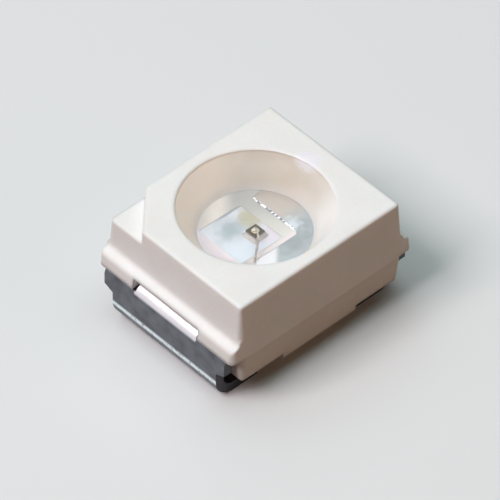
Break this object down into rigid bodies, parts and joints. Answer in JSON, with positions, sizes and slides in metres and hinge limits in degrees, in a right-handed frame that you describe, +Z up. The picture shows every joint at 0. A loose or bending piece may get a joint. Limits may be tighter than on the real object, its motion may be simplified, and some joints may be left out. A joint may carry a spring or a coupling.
{
  "type": "surface mount led",
  "caption": "Top view surface mount light emitting diode: white moulded body with a round resin filled reflector cup, a chip on its lead frame pad, and a folded lead at each end.",
  "frame": {"origin": "middle of the package on the solder plane under the two feet", "axes": "+X along the leads from the cathode to the anode, +Y across the package, +Z up through the top face that emits the light"},
  "size_m": [0.0036, 0.0028, 0.0019],
  "materials": {
    "white_plastic": "moulded, matte white, slightly warm",
    "plated_lead_frame": "copper alloy strip with a silvery plating, satin",
    "silver_epoxy": "conductive glue, matte grey",
    "semiconductor": "sawn semiconductor crystal, dark brown",
    "contact_metal": "evaporated metal contact",
    "gold": "drawn gold wire, polished",
    "clear_resin": "cast clear epoxy, glossy"
  },
  "bodies": {
    "root": {"housing": "white_plastic", "cathode_lead": "plated_lead_frame", "anode_lead": "plated_lead_frame", "die_attach": "silver_epoxy", "led_chip": "semiconductor", "chip_contact": "contact_metal", "bond_wire": "gold", "encapsulant": "clear_resin"}
  },
  "joints": []
}
